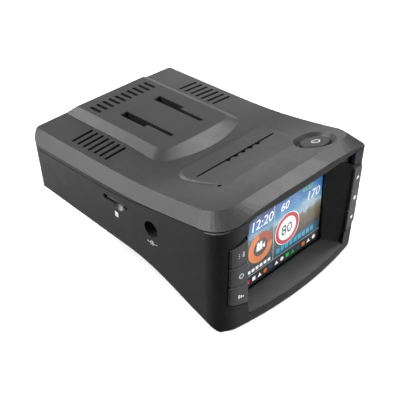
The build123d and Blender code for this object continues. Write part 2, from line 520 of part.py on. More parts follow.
with BuildPart() as lower_shell:
    add(envelope.part)
    add(cavity.part, mode=Mode.SUBTRACT)
    add(front_beam.part)
    add(posts_up.part)
    add(lower_zone, mode=Mode.INTERSECT)
    add(rail_notch.part, mode=Mode.SUBTRACT)
    with BuildSketch(Plane.XZ.offset(SIDE)) as front_opening:
        Polygon(*opening_loop, align=None)
        fillet(
            front_opening.vertices().filter_by(lambda v: abs(v.X) > opening_outer_x - FIT_GAP),
            radius=OPENING_ROUND,
        )
    extrude(amount=SCREEN_Y - 1 + SIDE, dir=(0, 1, 0), mode=Mode.SUBTRACT)
    for x, y in CASE_SCREWS:
        with Locations((x, y, 0)):
            Cylinder(SCREW_HEAD_R + WELL_GAP, SCREW_SEAT_Z, align=STANDING, mode=Mode.SUBTRACT)
            Cylinder(SCREW_R + HOLE_GAP, COLUMN_TOP, align=STANDING, mode=Mode.SUBTRACT)
    for x, y in BOARD_POSTS:
        with Locations((x, y, BOARD_Z[0])):
            Cylinder(BOARD_SCREW_R + THREAD_GAP, BOARD_PILOT, align=HANGING, mode=Mode.SUBTRACT)
    with BuildSketch(Plane.YZ.offset(-SIDE)):
        with Locations((CARD_Y, CARD_Z)):
            RectangleRounded(CARD_SLOT_WIDTH, CARD_SLOT_HEIGHT, CARD_SLOT_R)
        with Locations((INLET_Y, INLET_Z)):
            Circle(INLET_R)
    extrude(amount=SIDE + JACK_FACE_X, mode=Mode.SUBTRACT)
    with Locations(SCOOP_PLACE):
        Sphere(SCOOP_R, arc_size2=0, align=HANGING, mode=Mode.SUBTRACT)
    with BuildSketch(Plane.XZ.offset(-SIDE)):
        with Locations((CAMERA_X, CAMERA_Z)):
            Circle(CAMERA_R + FIT_GAP)
        with Locations((LASER_X, LASER_Z)):
            Rectangle(LASER_SIZE[0] + 2 * FIT_GAP, LASER_SIZE[1] + 2 * FIT_GAP)
    extrude(amount=10, mode=Mode.SUBTRACT)
finish(lower_shell, "lower_shell")

# ---------------------------------------------------------------- display

surround_edge = SURROUND_EDGE + [(-x, z) for x, z in reversed(SURROUND_EDGE)]


def funnel_section(y, half, z_span, grow):
    """Rectangle of the display funnel in the plane at y, grown by a wall."""
    with BuildSketch(Plane.XZ.offset(-y)) as section:
        with Locations((0, (z_span[0] + z_span[1]) / 2)):
            Rectangle(2 * (half + grow), z_span[1] - z_span[0] + 2 * grow)
    return section.sketch.faces()[0]


def funnel(grow):
    """The four-sided funnel from the screen out to the front of the body."""
    with BuildPart() as block:
        loft(
            sections=[
                funnel_section(SCREEN_Y, SCREEN_HALF, SCREEN_Z, grow),
                funnel_section(FUNNEL_MOUTH_Y, FUNNEL_MOUTH_HALF, FUNNEL_MOUTH_Z, grow),
            ]
        )
    return block.part


funnel_space = funnel(0)
with BuildPart() as display_surround:
    add(funnel(SURROUND_WALL))
    with BuildSketch(Plane.XZ.offset(SIDE)):
        Polygon(*surround_edge, align=None)
    extrude(amount=SIDE + SCREEN_Y, dir=(0, 1, 0), mode=Mode.INTERSECT)
    add(body_hull, mode=Mode.INTERSECT)
    cuboid((-SURROUND_FLANGE_HALF, SURROUND_FLANGE_HALF), SURROUND_FLANGE, SURROUND_FLANGE_Z)
    cuboid(
        (-HEADER_HALF, HEADER_HALF), (HEADER_Y, SURROUND_FLANGE[1]),
        (SCREEN_Z[1], SCREEN_Z[1] + HEADER_HEIGHT),
    )
    add(funnel_space, mode=Mode.SUBTRACT)
    cuboid(
        (-SCREEN_HALF, SCREEN_HALF), (SCREEN_Y - 1, SURROUND_FLANGE[1] + 1), SCREEN_Z,
        mode=Mode.SUBTRACT,
    )
finish(display_surround, "display_surround")

with BuildPart() as display_window:
    cuboid((-WINDOW_HALF, WINDOW_HALF), WINDOW_Y, WINDOW_Z)
    fillet(display_window.edges().filter_by(Axis.Y), radius=WINDOW_CORNER_R)
finish(display_window, "display_window")

with BuildPart() as lcd_panel:
    cuboid((-PANEL_HALF, PANEL_HALF), PANEL_Y, PANEL_Z)
    chamfer(lcd_panel.edges().filter_by(Axis.Y), length=PANEL_CORNER)
finish(lcd_panel, "lcd_panel")

with BuildPart() as display_bracket:
    cuboid((-FRAME_HALF, FRAME_HALF), FRAME_Y, FRAME_Z)
    for side in (-1, 1):
        for tab_z in FRAME_TAB_HEIGHTS:
            tab_x = sorted((side * (FRAME_HALF - FRAME_TAB), side * FRAME_HALF))
            cuboid(tab_x, (FRAME_TAB_FRONT, FRAME_Y[1]), tab_z)
    with Locations(*FRAME_HOLES):
        Box(*FRAME_HOLE_SIZE, mode=Mode.SUBTRACT)
finish(display_bracket, "display_bracket")

# ---------------------------------------------------------------- keys

with BuildPart() as key_cap_zone:
    add(hull(-KEY_PROUD))
    add(hull(KEY_DEPTH), mode=Mode.SUBTRACT)
with BuildPart() as key_flange_zone:
    add(hull(KEY_FLANGE_DEPTH[0]))
    add(hull(KEY_FLANGE_DEPTH[1]), mode=Mode.SUBTRACT)


def along(first, second, fraction):
    """Point at a fraction of the way from first to second."""
    return tuple(a + (b - a) * fraction for a, b in zip(first, second))


def make_key(side, low, high, name):
    """One front key of a column, between two fractions of the column's height."""
    inner_low = along(KEY_BOTTOM[0], KEY_TOP[0], low)
    outer_low = along(KEY_BOTTOM[1], KEY_TOP[1], low)
    inner_high = along(KEY_BOTTOM[0], KEY_TOP[0], high)
    outer_high = along(KEY_BOTTOM[1], KEY_TOP[1], high)
    corners = [inner_low, outer_low, outer_high, inner_high]
    outline = [(side * x, z) for x, z in corners]
    flange_out = (outer_low[0] + outer_high[0]) / 2 + KEY_FLANGE_OUT
    middle_z = sum(z for x, z in corners) / 4
    with BuildPart() as cap:
        with BuildSketch(Plane.XZ.offset(SIDE)) as face:
            Polygon(*outline, align=None)
            offset(amount=-KEY_GAP / 2, kind=Kind.INTERSECTION)
            fillet(face.vertices(), radius=0.7)
        extrude(amount=SIDE + KEY_REAR, dir=(0, 1, 0))
        add(key_cap_zone.part, mode=Mode.INTERSECT)
        chamfer(cap.faces().sort_by(Axis.Y)[0].edges(), length=0.35)
    with BuildPart() as flange:
        cuboid(
            sorted((side * KEY_FLANGE_IN_X, side * flange_out)), (-SIDE, KEY_REAR),
            (middle_z - KEY_FLANGE_HALF, middle_z + KEY_FLANGE_HALF),
        )
        add(key_flange_zone.part, mode=Mode.INTERSECT)
    with BuildPart() as key:
        add(cap.part)
        add(flange.part)
        cuboid(
            sorted((side * (KEY_STEM_X - KEY_STEM / 2), side * (KEY_STEM_X + KEY_STEM / 2))),
            (-52.5, KEY_STEM_END), (middle_z - KEY_STEM / 2, middle_z + KEY_STEM / 2),
        )
    finish(key, name)
    return middle_z


def make_key_board(side, heights, prefix):
    """The circuit board behind one column of keys, and the three switches on it."""
    with BuildPart() as board:
        cuboid(sorted((side * KEY_BOARD_X[0], side * KEY_BOARD_X[1])), KEY_BOARD_Y, KEY_BOARD_Z)
        for below, above in zip(heights, heights[1:]):
            with Locations((side * KEY_STEM_X, KEY_BOARD_Y[0], (below + above) / 2)):
                Cylinder(KEY_BOARD_HOLE_R, 6, rotation=TOWARDS_ROAD, mode=Mode.SUBTRACT)
    finish(board, prefix + "_key_board")
    with BuildPart() as switches:
        for z in heights:
            cuboid(
                sorted((side * (KEY_STEM_X - KEY_SWITCH_HALF), side * (KEY_STEM_X + KEY_SWITCH_HALF))),
                KEY_SWITCH_BODY, (z - KEY_SWITCH_HALF, z + KEY_SWITCH_HALF),
            )
            with Locations((side * KEY_STEM_X, (KEY_SWITCH_TOP + KEY_SWITCH_BODY[1]) / 2, z)):
                Cylinder(KEY_SWITCH_R, KEY_SWITCH_BODY[1] - KEY_SWITCH_TOP, rotation=TOWARDS_ROAD)
    finish(switches, prefix + "_key_switches")


column_steps = [0, *KEY_SPLITS, 1]
for side, prefix in ((-1, "left"), (1, "right")):
    heights = []
    for low, high, place in zip(column_steps, column_steps[1:], ("lower", "middle", "upper")):
        heights.append(make_key(side, low, high, f"{prefix}_{place}_key"))
    make_key_board(side, heights, prefix)

# ---------------------------------------------------------------- power button

with BuildPart() as power_button:
    with BuildSketch(dish_plane.offset(POWER_FLANGE[0])):
        Circle(POWER_FLANGE_R)
    extrude(amount=POWER_FLANGE[1] - POWER_FLANGE[0])
    with BuildSketch(dish_plane.offset(POWER_FLANGE[0])):
        Circle(POWER_R)
    extrude(amount=POWER_TOP - POWER_FLANGE[0])
    fillet(power_button.faces().sort_by(Axis.Z)[-1].edges(), radius=POWER_EDGE_R)
    with BuildSketch(dish_plane.offset(POWER_STEM_END)):
        Circle(POWER_STEM_R)
    extrude(amount=POWER_FLANGE[0] - POWER_STEM_END)
finish(power_button, "power_button")

with BuildPart() as power_switch:
    with BuildSketch(dish_plane.offset(POWER_SWITCH_BODY[0])):
        Rectangle(POWER_SWITCH_SIZE, POWER_SWITCH_SIZE)
    extrude(amount=POWER_SWITCH_BODY[1] - POWER_SWITCH_BODY[0])
    with BuildSketch(dish_plane.offset(POWER_SWITCH_BODY[0])):
        Circle(POWER_SWITCH_R)
    extrude(amount=POWER_SWITCH_TOP - POWER_SWITCH_BODY[0])
finish(power_switch, "power_switch")

with BuildPart() as power_board:
    with BuildSketch(dish_plane.offset(POWER_BOARD[0])):
        RectangleRounded(2 * POWER_POST_X + POWER_BOARD_END, POWER_BOARD_WIDTH, 1.0)
    extrude(amount=POWER_BOARD[1] - POWER_BOARD[0])
finish(power_board, "power_board")

# ---------------------------------------------------------------- main board and what it carries

with BuildPart() as main_board:
    cuboid((-BOARD_X, BOARD_X), BOARD_Y, BOARD_Z)
    with Locations(*[(x, y, BOARD_Z[0]) for x, y in BOARD_POSTS]):
        Cylinder(BOARD_SCREW_R + WELL_GAP, 10, mode=Mode.SUBTRACT)
finish(main_board, "main_board")

with BuildPart() as board_screws:
    for x, y in BOARD_POSTS:
        with Locations((x, y, BOARD_Z[1])):
            Cylinder(BOARD_HEAD_R, BOARD_HEAD_HEIGHT, align=STANDING)
            Cylinder(BOARD_SCREW_R, BOARD_SHANK, align=HANGING)
            Cylinder(BOARD_SOCKET_R, BOARD_HEAD_HEIGHT + 0.2, align=STANDING, mode=Mode.SUBTRACT)
finish(board_screws, "board_screws")

with BuildPart() as case_screws:
    for x, y in CASE_SCREWS:
        with Locations((x, y, SCREW_SEAT_Z)):
            Cylinder(SCREW_HEAD_R, CASE_HEAD_HEIGHT, align=HANGING)
            Cylinder(SCREW_R, SCREW_TOP_Z - SCREW_SEAT_Z, align=STANDING)
        with BuildSketch(Plane.XY.offset(SCREW_SEAT_Z - CASE_HEAD_HEIGHT)):
            with Locations((x, y)):
                Rectangle(CASE_CROSS[0], CASE_CROSS[1])
                Rectangle(CASE_CROSS[1], CASE_CROSS[0])
        extrude(amount=CASE_CROSS_DEPTH, mode=Mode.SUBTRACT)
finish(case_screws, "case_screws")

board_face = BOARD_Z[1]
with BuildPart() as processor_shield:
    cuboid(SHIELD_X, SHIELD_Y, (board_face, board_face + SHIELD_HEIGHT))
    fillet(processor_shield.edges().filter_by(Axis.Z), radius=SHIELD_CORNER_R)
    cuboid(
        (SHIELD_X[0] + SHIELD_SKIN, SHIELD_X[1] - SHIELD_SKIN),
        (SHIELD_Y[0] + SHIELD_SKIN, SHIELD_Y[1] - SHIELD_SKIN),
        (board_face, board_face + SHIELD_HEIGHT - SHIELD_SKIN), mode=Mode.SUBTRACT,
    )
finish(processor_shield, "processor_shield")

with BuildPart() as gps_antenna:
    cuboid(ANTENNA_X, ANTENNA_Y, (board_face, board_face + ANTENNA_HEIGHT))
    chamfer(gps_antenna.edges().filter_by(Axis.Z), length=ANTENNA_CORNER)
    with Locations((*ANTENNA_PIN, board_face + ANTENNA_HEIGHT)):
        Cylinder(ANTENNA_PIN_R, ANTENNA_PIN_HEIGHT, align=STANDING)
finish(gps_antenna, "gps_antenna")

with BuildPart() as backup_capacitor:
    with Locations((*CAPACITOR_PLACE, BOARD_Z[0] - CAPACITOR_R)):
        Cylinder(CAPACITOR_R, CAPACITOR_LENGTH, rotation=(0, 90, 0))
    fillet(backup_capacitor.edges().group_by(Axis.X)[-1], radius=0.5)
finish(backup_capacitor, "backup_capacitor")

with BuildPart() as dc_jack:
    cuboid(
        (JACK_FACE_X, JACK_FACE_X + JACK_LENGTH),
        (INLET_Y - JACK_WIDTH / 2, INLET_Y + JACK_WIDTH / 2), (INLET_Z - JACK_BELOW, BOARD_Z[0]),
    )
    with BuildSketch(Plane.YZ.offset(JACK_FACE_X)):
        with Locations((INLET_Y, INLET_Z)):
            Circle(JACK_BORE_R)
            Circle(JACK_PIN_R, mode=Mode.SUBTRACT)
    extrude(amount=JACK_BORE_DEPTH, mode=Mode.SUBTRACT)
finish(dc_jack, "dc_jack")

card_far_x = CARD_OUTER_X + CARD_LENGTH
card_half_y = CARD_WIDTH / 2 + CARD_PLAY
card_half_z = CARD_THICK / 2 + FIT_GAP
with BuildPart() as card_socket:
    cuboid(
        (JACK_FACE_X, card_far_x + SOCKET_WALL), (CARD_Y - SOCKET_HALF, CARD_Y + SOCKET_HALF),
        (BOARD_Z[0] - SOCKET_HEIGHT, BOARD_Z[0]),
    )
    cuboid(
        (JACK_FACE_X - 1, card_far_x + CARD_STOP_GAP), (CARD_Y - card_half_y, CARD_Y + card_half_y),
        (CARD_Z - card_half_z, CARD_Z + card_half_z), mode=Mode.SUBTRACT,
    )
finish(card_socket, "card_socket")

with BuildPart() as memory_card:
    with BuildSketch(Plane.XY.offset(CARD_Z - CARD_THICK / 2)) as card_face:
        with Locations((CARD_OUTER_X + CARD_LENGTH / 2, CARD_Y)):
            Rectangle(CARD_LENGTH, CARD_WIDTH)
        chamfer(card_face.vertices().group_by(Axis.X)[-1].sort_by(Axis.Y)[0], length=1.6)
        fillet(card_face.vertices().group_by(Axis.X)[0], radius=0.6)
    extrude(amount=CARD_THICK)
    chamfer(memory_card.faces().sort_by(Axis.X)[0].edges(), length=0.12)
finish(memory_card, "memory_card")

# ---------------------------------------------------------------- sound and display flex

with BuildPart() as speaker:
    with Locations((0, SOUND_SLOT_Y, SPEAKER_Z)):
        Cylinder(SPEAKER_R, SPEAKER_RIM, align=STANDING)
        Cylinder(SPEAKER_MAGNET_R, SPEAKER_MAGNET, align=HANGING)
    with Locations((0, SOUND_SLOT_Y, SPEAKER_Z + SPEAKER_RIM)):
        Cone(*SPEAKER_CONE, align=HANGING, mode=Mode.SUBTRACT)
finish(speaker, "speaker")

with BuildPart() as microphone:
    with Locations((MIC_X, MIC_Y, MIC_Z)):
        Cylinder(MIC_R, MIC_HEIGHT, align=STANDING)
    with Locations((MIC_X, MIC_Y, MIC_Z + MIC_HEIGHT)):
        Cylinder(MIC_PORT, MIC_PORT, align=HANGING, mode=Mode.SUBTRACT)
finish(microphone, "microphone")

with BuildPart() as display_ribbon:
    with BuildSketch(Plane.YZ.offset(-RIBBON_HALF)):
        with BuildLine() as ribbon_line:
            FilletPolyline(*RIBBON_POINTS, radius=RIBBON_BEND_R)
        trace(lines=ribbon_line.line, line_width=RIBBON_THICK)
    extrude(amount=2 * RIBBON_HALF)
finish(display_ribbon, "display_ribbon")

# ---------------------------------------------------------------- road-facing end


def horn_section(y, size):
    """Rectangle of the radar horn in the plane at y."""
    with BuildSketch(Plane.XZ.offset(-y)) as section:
        with Locations((HORN_X, HORN_Z)):
            Rectangle(*size)
    return section.sketch.faces()[0]


def about(middle, half):
    """The span that reaches half to each side of the middle."""
    return (middle - half, middle + half)


def along_road(x, z, y_span, radius, mode=Mode.ADD):
    """A cylinder that runs along +Y between two planes."""
    with Locations((x, y_span[0], z)):
        Cylinder(radius, y_span[1] - y_span[0], rotation=TOWARDS_ROAD, align=STANDING, mode=mode)


throat_inside = tuple(side - 2 * HORN_SKIN - 0.2 for side in HORN_THROAT)
mouth_inside = tuple(side - 2 * HORN_SKIN for side in HORN_MOUTH)
with BuildPart() as radar_horn:
    loft(sections=[horn_section(HORN_THROAT_Y, HORN_THROAT), horn_section(HORN_MOUTH_Y, HORN_MOUTH)])
    cuboid(
        about(HORN_X, HORN_THROAT[0] / 2), (HORN_TAIL_Y, HORN_THROAT_Y),
        about(HORN_Z, HORN_THROAT[1] / 2),
    )
    loft(
        sections=[
            horn_section(HORN_THROAT_Y - FIT_GAP, throat_inside),
            horn_section(HORN_MOUTH_Y + FIT_GAP, mouth_inside),
        ],
        mode=Mode.SUBTRACT,
    )
    cuboid(
        about(HORN_X, HORN_CAVITY_HALF[0]), (HORN_CAVITY_Y, HORN_THROAT_Y),
        about(HORN_Z, HORN_CAVITY_HALF[1]), mode=Mode.SUBTRACT,
    )
finish(radar_horn, "radar_horn")

radar_board_z = HORN_Z + HORN_THROAT[1] / 2
radar_chip_z = radar_board_z + RADAR_BOARD_THICK
with BuildPart() as radar_board:
    cuboid(about(HORN_X, RADAR_BOARD_HALF), RADAR_BOARD_Y, (radar_board_z, radar_chip_z))
    cuboid(
        about(HORN_X, RADAR_CHIP_HALF), RADAR_CHIP_Y,
        (radar_chip_z, radar_chip_z + RADAR_CHIP_THICK),
    )
finish(radar_board, "radar_board")

with BuildPart() as camera_housing:
    cuboid(about(CAMERA_X, CAMERA_BLOCK_HALF), CAMERA_BLOCK_Y, about(CAMERA_Z, CAMERA_BLOCK_HALF))
    along_road(CAMERA_X, CAMERA_Z, (CAMERA_BLOCK_Y[1], CAMERA_NOSE_Y), CAMERA_R)
    chamfer(camera_housing.edges().group_by(Axis.Y)[-1], length=0.5)
    along_road(CAMERA_X, CAMERA_Z, (CAMERA_BLOCK_Y[0], BIG), CAMERA_BORE_R, mode=Mode.SUBTRACT)
    along_road(CAMERA_X, CAMERA_Z, (CAMERA_SEAT_Y, BIG), CAMERA_SEAT_R, mode=Mode.SUBTRACT)
finish(camera_housing, "camera_housing")

with BuildPart() as camera_lens:
    along_road(CAMERA_X, CAMERA_Z, CAMERA_LENS_Y, CAMERA_LENS_R)
    with Locations((CAMERA_X, CAMERA_LENS_Y[1] - CAMERA_LENS_DOME, CAMERA_Z)):
        Sphere(CAMERA_LENS_DOME, mode=Mode.INTERSECT)
finish(camera_lens, "camera_lens")

with BuildPart() as camera_board:
    cuboid(about(CAMERA_X, CAMERA_BOARD_HALF), CAMERA_BOARD_Y, about(CAMERA_Z, CAMERA_BOARD_HALF))
    cuboid(about(CAMERA_X, SENSOR_SIZE[0] / 2), SENSOR_Y, about(CAMERA_Z, SENSOR_SIZE[1] / 2))
finish(camera_board, "camera_board")

laser_half_x, laser_half_z = LASER_SIZE[0] / 2, LASER_SIZE[1] / 2
with BuildPart() as laser_window:
    cuboid(about(LASER_X, laser_half_x), LASER_WINDOW_Y, about(LASER_Z, laser_half_z))
    fillet(laser_window.edges().group_by(Axis.Y)[-1], radius=0.4)
    cuboid(
        about(LASER_X, laser_half_x + LASER_FLANGE_OUT), LASER_FLANGE_Y,
        about(LASER_Z, laser_half_z + LASER_FLANGE_OUT),
    )
finish(laser_window, "laser_window")

with BuildPart() as laser_lens:
    along_road(LASER_X, LASER_Z, LASER_LENS_Y, LASER_LENS_R)
    with Locations((LASER_X, LASER_LENS_Y[1] - LASER_LENS_DOME, LASER_Z)):
        Sphere(LASER_LENS_DOME, mode=Mode.INTERSECT)
finish(laser_lens, "laser_lens")

with BuildPart() as laser_receiver:
    cuboid(about(LASER_X, LASER_BOARD_HALF), LASER_BOARD_Y, about(LASER_Z, LASER_BOARD_HALF))
    along_road(LASER_X, LASER_Z, LASER_TUBE_Y, LASER_TUBE_R)
    along_road(LASER_X, LASER_Z, (LASER_TUBE_FLOOR_Y, BIG), LASER_TUBE_BORE_R, mode=Mode.SUBTRACT)
    along_road(LASER_X, LASER_Z, (LASER_LENS_Y[0], BIG), LASER_LENS_R + 0.05, mode=Mode.SUBTRACT)
finish(laser_receiver, "laser_receiver")
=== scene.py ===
"""Looks of the dashboard radar detector: materials, printed marks, display picture, light and camera.

Everything is in metres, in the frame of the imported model: the display looks along -Y, the road is
along +Y and the card slot and the power inlet are on the -X side.
"""

import json
from math import cos, pi, radians, sin

import bpy
from mathutils import Matrix, Vector
from mathutils.bvhtree import BVHTree


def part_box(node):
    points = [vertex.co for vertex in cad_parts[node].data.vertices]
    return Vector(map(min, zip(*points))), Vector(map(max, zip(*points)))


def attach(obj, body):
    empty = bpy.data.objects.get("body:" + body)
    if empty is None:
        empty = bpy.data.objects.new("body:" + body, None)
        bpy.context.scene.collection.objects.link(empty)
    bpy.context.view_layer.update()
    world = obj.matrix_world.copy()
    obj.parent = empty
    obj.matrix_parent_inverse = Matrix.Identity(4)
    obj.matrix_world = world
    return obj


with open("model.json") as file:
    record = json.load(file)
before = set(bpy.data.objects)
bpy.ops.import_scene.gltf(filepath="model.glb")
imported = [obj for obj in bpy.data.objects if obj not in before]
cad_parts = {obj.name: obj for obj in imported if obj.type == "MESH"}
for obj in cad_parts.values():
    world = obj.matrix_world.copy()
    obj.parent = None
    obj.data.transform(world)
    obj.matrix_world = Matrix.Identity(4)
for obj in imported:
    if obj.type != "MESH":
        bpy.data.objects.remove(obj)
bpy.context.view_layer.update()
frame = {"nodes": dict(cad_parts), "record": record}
nodes = frame["nodes"]
MM = 0.001
POWER_AXIS = (0.03, 0.24, 1.0)     # the way the power button faces

# ---------------------------------------------------------------- camera and stage

CAMERA_PLACE = Vector((-203.24, -206.39, 216.52)) * MM
CAMERA_AIM = Vector((-33.00, -34.31, 49.30)) * MM
CAMERA_ROLL = radians(-1.32)
CAMERA_LENS, CAMERA_SENSOR = 75.2, 36.0     # in millimetres
CAMERA_NEAR = 0.01
FLOOR_HALF, FLOOR_GLOW = 12.0, 0.45
OBJECT_CENTRE = (0.0, 0.0, 0.03)
LIGHTS = [   # name, place, aim, size (level, upright), power in watts
    ("overhead", (0.0, 0.0, 1.6), OBJECT_CENTRE, (1.8, 1.8), 6.5),
    ("brow", (0.62, 0.05, 0.88), OBJECT_CENTRE, (0.6, 0.5), 7.0),
    ("strip", (-0.45, 0.50, 0.62), OBJECT_CENTRE, (1.6, 0.35), 12.0),
    ("backdrop", (0.75, 1.2, 0.26), OBJECT_CENTRE, (1.9, 0.6), 5.0),
    ("front", (0.75, -0.90, 0.26), OBJECT_CENTRE, (1.0, 0.35), 36.0),
    ("side", (-0.16, 0.12, 0.03), (-0.043, 0.02, 0.03), (0.12, 0.05), 0.28),
]
GLARE_FREE = "front"        # this light would glare on the cover when seen from behind
DARK_SIDE = (-0.58, -0.57, -0.58)
# The surround's brightness, from the side away from DARK_SIDE (0) to that side (1).
SURROUND = [(0.0, 0.10), (0.5, 0.22), (0.66, 0.22), (0.86, 0.05), (1.0, 0.02)]


def make_camera():
    """The camera at the chosen place, turned a little about its own axis."""
    data = bpy.data.cameras.new("camera")
    data.lens = CAMERA_LENS
    data.sensor_width = CAMERA_SENSOR
    data.clip_start = CAMERA_NEAR
    camera = bpy.data.objects.new("camera", data)
    bpy.context.scene.collection.objects.link(camera)
    forward = (CAMERA_AIM - CAMERA_PLACE).normalized()
    right = forward.cross(Vector((0, 0, 1))).normalized()
    up = right.cross(forward)
    rolled_right = right * cos(CAMERA_ROLL) + up * sin(CAMERA_ROLL)
    rolled_up = up * cos(CAMERA_ROLL) - right * sin(CAMERA_ROLL)
    turn = Matrix((rolled_right, rolled_up, -forward)).transposed().to_4x4()
    camera.matrix_world = Matrix.Translation(CAMERA_PLACE) @ turn
    bpy.context.scene.camera = camera


def area_light(name, place, aim, size, power):
    """A rectangular soft light at place, facing aim. size is (level, upright), in metres."""
    data = bpy.data.lights.new(name, "AREA")
    data.shape = "RECTANGLE"
    data.size, data.size_y = size
    data.energy = power
    lamp = bpy.data.objects.new(name, data)
    bpy.context.scene.collection.objects.link(lamp)
    lamp.location = place
    lamp.visible_camera = False
    lamp.visible_glossy = name != GLARE_FREE
    lamp.rotation_euler = (Vector(aim) - Vector(place)).to_track_quat("-Z", "Y").to_euler()


def make_floor():
    """A white floor that casts no shadow and is seen neither in reflections nor by bounced light."""
    paint = Material("floor_paint")
    paint.set(
        base=(0.8, 0.8, 0.8), roughness=0.9, specular=0.1,
        emission=(1, 1, 1), emission_strength=FLOOR_GLOW,
    )
    corners = [(x * FLOOR_HALF, y * FLOOR_HALF, 0) for x, y in ((-1, -1), (1, -1), (1, 1), (-1, 1))]
    mesh = bpy.data.meshes.new("floor")
    mesh.from_pydata(corners, [], [(0, 1, 2, 3)])
    mesh.materials.append(paint.material)
    piece = bpy.data.objects.new("floor", mesh)
    bpy.context.scene.collection.objects.link(piece)
    piece.visible_diffuse = False
    piece.visible_glossy = False
    piece.visible_shadow = False


def make_surround():
    """A surround that is white to the camera and dim, with a darker side, to everything else."""
    world = bpy.data.worlds.new("studio")
    world.use_nodes = True
    tree = world.node_tree
    background = tree.nodes["Background"]
    background.inputs["Color"].default_value = (1, 1, 1, 1)
    place = tree.nodes.new("ShaderNodeTexCoord")
    toward = tree.nodes.new("ShaderNodeVectorMath")
    toward.operation = "DOT_PRODUCT"
    toward.inputs[1].default_value = DARK_SIDE
    tree.links.new(place.outputs["Generated"], toward.inputs[0])
    span = tree.nodes.new("ShaderNodeMapRange")
    span.inputs["From Min"].default_value = -1.0
    tree.links.new(toward.outputs["Value"], span.inputs["Value"])
    level = tree.nodes.new("ShaderNodeValToRGB")
    level.color_ramp.interpolation = "EASE"
    while len(level.color_ramp.elements) < len(SURROUND):
        level.color_ramp.elements.new(1.0)
    for element, (position, value) in zip(level.color_ramp.elements, SURROUND):
        element.position = position
        element.color = (value, value, value, 1)
    tree.links.new(span.outputs["Result"], level.inputs["Fac"])
    ray = tree.nodes.new("ShaderNodeLightPath")
    seen = tree.nodes.new("ShaderNodeMath")
    seen.operation = "MAXIMUM"
    tree.links.new(ray.outputs["Is Camera Ray"], seen.inputs[0])
    tree.links.new(level.outputs["Color"], seen.inputs[1])
    tree.links.new(seen.outputs["Value"], background.inputs["Strength"])
    bpy.context.scene.world = world


def make_stage():
    """The floor, the surround and the soft lights."""
    bpy.context.scene.view_settings.view_transform = "Standard"
    make_floor()
    make_surround()
    for light in LIGHTS:
        area_light(*light)


# ---------------------------------------------------------------- materials


# All colours are linear.
SPARK_GRAIN, SPARK_DEPTH = 0.3 * MM, 0.006 * MM
SPECK, SPECK_SHARE = (0.20, 0.20, 0.21), 0.05       # colour of the specks, and how much shows
TRACKS_PER_METRE = 420.0
WINDOW_INDEX = 1.12         # low, since the window's coating keeps reflections low


class Material:
    """A Principled material with the few node set-ups that the object needs."""

    def __init__(self, name):
        self.material = bpy.data.materials.new(name)
        self.material.use_nodes = True
        self.tree = self.material.node_tree
        self.shader = self.tree.nodes["Principled BSDF"]
        self.place = None

    def set(self, base=None, roughness=None, metallic=None, specular=None, coat=None,
            coat_roughness=None, transmission=None, ior=None, emission=None, emission_strength=None):
        """Set constant values on the shader's own sockets."""
        values = {
            "Roughness": roughness, "Metallic": metallic, "Specular IOR Level": specular,
            "Coat Weight": coat, "Coat Roughness": coat_roughness, "Transmission Weight": transmission,
            "IOR": ior, "Emission Strength": emission_strength,
        }
        for socket, value in values.items():
            if value is not None:
                self.shader.inputs[socket].default_value = value
        if base is not None:
            self.shader.inputs["Base Color"].default_value = (*base, 1)
        if emission is not None:
            self.shader.inputs["Emission Color"].default_value = (*emission, 1)

    def node(self, kind, **inputs):
        """A new node with the given input values or links."""
        made = self.tree.nodes.new(kind)
        for name, value in inputs.items():
            socket = made.inputs[name.replace("_", " ")]
            if isinstance(value, bpy.types.NodeSocket):
                self.tree.links.new(value, socket)
            else:
                socket.default_value = value
        return made

    def coordinates(self):
        """Position in the model's own frame, in metres."""
        if self.place is None:
            self.place = self.node("ShaderNodeTexCoord").outputs["Object"]
        return self.place

    def noise(self, size, detail=2.0, roughness=0.5):
        """Noise whose features are about size metres across."""
        made = self.node("ShaderNodeTexNoise", Vector=self.coordinates())
        made.inputs["Scale"].default_value = 1.0 / size
        made.inputs["Detail"].default_value = detail
        made.inputs["Roughness"].default_value = roughness
        return made.outputs["Fac"]

    def remap(self, value, low, high, from_low=0.3, from_high=0.7):
        """The value moved from its usual span to low..high."""
        made = self.node("ShaderNodeMapRange", Value=value)
        made.inputs["From Min"].default_value = from_low
        made.inputs["From Max"].default_value = from_high
        made.inputs["To Min"].default_value = low
        made.inputs["To Max"].default_value = high
        return made.outputs["Result"]

    def mix(self, factor, first, second):
        """Colour between first and second."""
        made = self.tree.nodes.new("ShaderNodeMix")
        made.data_type = "RGBA"
        colour_inputs = [s for s in made.inputs if s.type == "RGBA"]
        self.tree.links.new(factor, made.inputs["Factor"])
        for socket, value in zip(colour_inputs, (first, second)):
            if isinstance(value, bpy.types.NodeSocket):
                self.tree.links.new(value, socket)
            else:
                socket.default_value = (*value, 1)
        return [s for s in made.outputs if s.type == "RGBA"][0]

    def colour(self, socket):
        """Use a colour as the base colour."""
        self.tree.links.new(socket, self.shader.inputs["Base Color"])

    def rough(self, socket):
        """Use a value as the roughness."""
        self.tree.links.new(socket, self.shader.inputs["Roughness"])

    def bump(self, height, depth):
        """Relief of the given depth in metres."""
        made = self.node("ShaderNodeBump", Height=height)
        made.inputs["Distance"].default_value = depth
        self.tree.links.new(made.outputs["Normal"], self.shader.inputs["Normal"])


